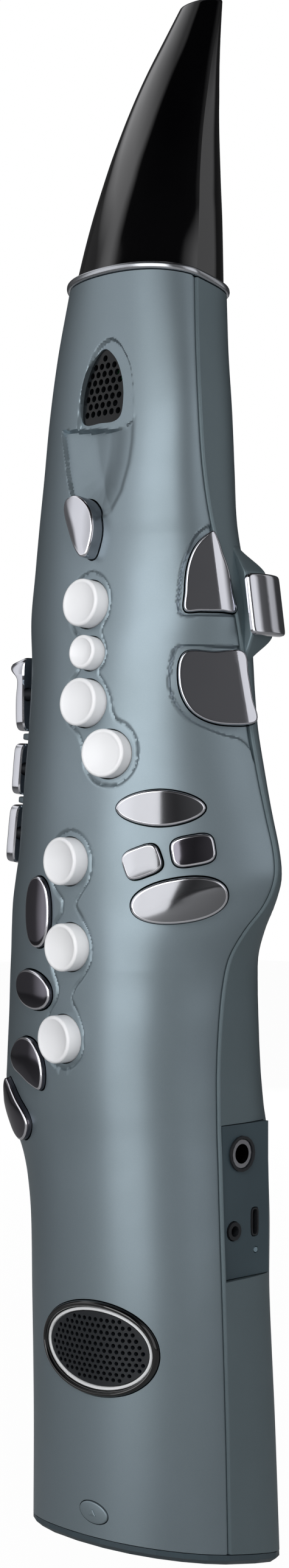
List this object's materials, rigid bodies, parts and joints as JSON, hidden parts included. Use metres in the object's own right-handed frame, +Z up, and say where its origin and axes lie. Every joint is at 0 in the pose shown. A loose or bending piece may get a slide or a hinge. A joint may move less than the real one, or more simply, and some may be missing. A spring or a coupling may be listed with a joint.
{
  "type": "digital wind controller",
  "caption": "Digital wind controller: a moulded two-part body with round, table, palm and side keys, a speaker, a socket panel and a lift-off mouthpiece cap.",
  "frame": {"origin": "centre of the strap ring's loop at the back of the body", "axes": "+Z up along the body to the mouthpiece, -Y out of the front where the round keys are, +X to the side of the palm keys and sockets"},
  "size_m": [0.1101, 0.0879, 0.5394],
  "materials": {
    "body shell": "satin metallic slate",
    "dark trim": "satin dark slate",
    "bright trim": "satin silver",
    "black plastic": "matt",
    "gloss black": "gloss",
    "circuit board": "green solder mask",
    "white key": "satin white",
    "chrome": "mirror chrome",
    "dark chrome": "smoked chrome",
    "lamp": "pale lens",
    "cell": "blue sleeve"
  },
  "bodies": {
    "body": {"front_shell": "body shell", "rear_shell": "body shell", "base_cap": "dark trim", "trim_ring": "bright trim", "top_collar": "black plastic", "mouthpiece": "black plastic", "breath_tube": "black plastic", "breath_sensor": "circuit board", "vent_grille": "black plastic", "speaker_bezel": "gloss black", "speaker_ring": "white key", "speaker_grille": "black plastic", "speaker_driver": "black plastic", "socket_panel": "dark trim", "output_socket": "chrome", "output_nut": "black plastic", "phones_socket": "black plastic", "usb_socket": "bright trim", "status_lamp": "lamp", "socket_board": "circuit board", "key_board": "circuit board", "service_cover": "dark trim", "battery_pack": "cell", "thumb_hook": "dark trim", "strap_ring": "bright trim", "thumb_rest": "black plastic", "case_screw_1": "bright trim", "case_screw_2": "bright trim", "case_screw_3": "bright trim", "case_screw_4": "bright trim", "case_screw_5": "bright trim", "case_screw_6": "bright trim"},
    "front_key": {"front_key": "chrome"},
    "table_key_1": {"table_key_1": "chrome"},
    "table_key_2": {"table_key_2": "chrome"},
    "table_key_3": {"table_key_3": "chrome"},
    "table_key_4": {"table_key_4": "chrome"},
    "low_key_1": {"low_key_1": "dark chrome"},
    "low_key_2": {"low_key_2": "dark chrome"},
    "low_key_3": {"low_key_3": "dark chrome"},
    "low_key_4": {"low_key_4": "dark chrome"},
    "white_key_1": {"white_key_1": "white key"},
    "white_key_2": {"white_key_2": "white key"},
    "white_key_3": {"white_key_3": "white key"},
    "white_key_4": {"white_key_4": "white key"},
    "white_key_5": {"white_key_5": "white key"},
    "white_key_6": {"white_key_6": "white key"},
    "white_key_7": {"white_key_7": "white key"},
    "palm_key_1": {"palm_key_1": "chrome"},
    "palm_key_3": {"palm_key_3": "chrome"},
    "palm_key_2": {"palm_key_2": "chrome"},
    "side_key_1": {"side_key_1": "chrome"},
    "side_key_2": {"side_key_2": "chrome"},
    "side_key_3": {"side_key_3": "chrome"},
    "low_button": {"low_button": "body shell"},
    "octave_key_up": {"octave_key_up": "chrome"},
    "octave_key_down": {"octave_key_down": "chrome"},
    "cap": {"mouthpiece_cap": "gloss black"}
  },
  "joints": [
    {"name": "front_key_press", "type": "slide", "parent": "body", "child": "front_key", "axis": [-0.0041, 0.9921, -0.1254], "range_m": [0, 0.0018], "stiffness_N_per_m": 250},
    {"name": "table_key_1_press", "type": "slide", "parent": "body", "child": "table_key_1", "axis": [-0.5925, 0.8054, -0.0184], "range_m": [0, 0.0018], "stiffness_N_per_m": 250},
    {"name": "table_key_2_press", "type": "slide", "parent": "body", "child": "table_key_2", "axis": [-0.5053, 0.8628, -0.0162], "range_m": [0, 0.0018], "stiffness_N_per_m": 250},
    {"name": "table_key_3_press", "type": "slide", "parent": "body", "child": "table_key_3", "axis": [-0.7147, 0.6992, -0.0189], "range_m": [0, 0.0018], "stiffness_N_per_m": 250},
    {"name": "table_key_4_press", "type": "slide", "parent": "body", "child": "table_key_4", "axis": [-0.6908, 0.7193, 0.073], "range_m": [0, 0.0018], "stiffness_N_per_m": 250},
    {"name": "low_key_1_press", "type": "slide", "parent": "body", "child": "low_key_1", "axis": [0.1577, 0.9875, -0.0048], "range_m": [0, 0.0018], "stiffness_N_per_m": 250},
    {"name": "low_key_2_press", "type": "slide", "parent": "body", "child": "low_key_2", "axis": [0.1855, 0.9826, -0.0044], "range_m": [0, 0.0018], "stiffness_N_per_m": 250},
    {"name": "low_key_3_press", "type": "slide", "parent": "body", "child": "low_key_3", "axis": [0.2115, 0.9774, 0.0066], "range_m": [0, 0.0018], "stiffness_N_per_m": 250},
    {"name": "low_key_4_press", "type": "slide", "parent": "body", "child": "low_key_4", "axis": [0.3899, 0.9138, 0.1136], "range_m": [0, 0.0018], "stiffness_N_per_m": 250},
    {"name": "white_key_1_press", "type": "slide", "parent": "body", "child": "white_key_1", "axis": [-0.0417, 0.9959, -0.0805], "range_m": [0, 0.0018], "stiffness_N_per_m": 250},
    {"name": "white_key_2_press", "type": "slide", "parent": "body", "child": "white_key_2", "axis": [-0.0829, 0.9934, -0.0792], "range_m": [0, 0.0018], "stiffness_N_per_m": 250},
    {"name": "white_key_3_press", "type": "slide", "parent": "body", "child": "white_key_3", "axis": [-0.0799, 0.9942, -0.0725], "range_m": [0, 0.0018], "stiffness_N_per_m": 250},
    {"name": "white_key_4_press", "type": "slide", "parent": "body", "child": "white_key_4", "axis": [-0.275, 0.9603, -0.0465], "range_m": [0, 0.0018], "stiffness_N_per_m": 250},
    {"name": "white_key_5_press", "type": "slide", "parent": "body", "child": "white_key_5", "axis": [0.008, 0.9997, -0.0221], "range_m": [0, 0.0018], "stiffness_N_per_m": 250},
    {"name": "white_key_6_press", "type": "slide", "parent": "body", "child": "white_key_6", "axis": [0.001, 1, 0], "range_m": [0, 0.0018], "stiffness_N_per_m": 250},
    {"name": "white_key_7_press", "type": "slide", "parent": "body", "child": "white_key_7", "axis": [0.027, 0.9996, 0.0072], "range_m": [0, 0.0018], "stiffness_N_per_m": 250},
    {"name": "palm_key_1_press", "type": "slide", "parent": "body", "child": "palm_key_1", "axis": [-0.7431, 0.6691, 0], "range_m": [0, 0.0018], "stiffness_N_per_m": 250},
    {"name": "palm_key_3_press", "type": "slide", "parent": "body", "child": "palm_key_3", "axis": [-0.7431, 0.6691, 0], "range_m": [0, 0.0018], "stiffness_N_per_m": 250},
    {"name": "palm_key_2_press", "type": "slide", "parent": "body", "child": "palm_key_2", "axis": [-0.9889, 0, -0.1483], "range_m": [0, 0.0018], "stiffness_N_per_m": 250},
    {"name": "side_key_1_press", "type": "slide", "parent": "body", "child": "side_key_1", "axis": [1, 0, -0.0068], "range_m": [0, 0.0018], "stiffness_N_per_m": 250},
    {"name": "side_key_2_press", "type": "slide", "parent": "body", "child": "side_key_2", "axis": [0.9937, 0, -0.1123], "range_m": [0, 0.0018], "stiffness_N_per_m": 250},
    {"name": "side_key_3_press", "type": "slide", "parent": "body", "child": "side_key_3", "axis": [0.9915, 0, -0.1299], "range_m": [0, 0.0018], "stiffness_N_per_m": 250},
    {"name": "low_button_press", "type": "slide", "parent": "body", "child": "low_button", "axis": [-0.1727, 0.985, 0.0012], "range_m": [0, 0.0008], "stiffness_N_per_m": 300},
    {"name": "octave_key_up_press", "type": "slide", "parent": "body", "child": "octave_key_up", "axis": [0, -0.9992, 0.0387], "range_m": [0, 0.0016], "stiffness_N_per_m": 250},
    {"name": "octave_key_down_press", "type": "slide", "parent": "body", "child": "octave_key_down", "axis": [0, -0.9999, 0.0166], "range_m": [0, 0.0016], "stiffness_N_per_m": 250},
    {"name": "cap_lift", "type": "slide", "parent": "body", "child": "cap", "axis": [0, 0.126, 0.992], "range_m": [0, 0.08]}
  ]
}
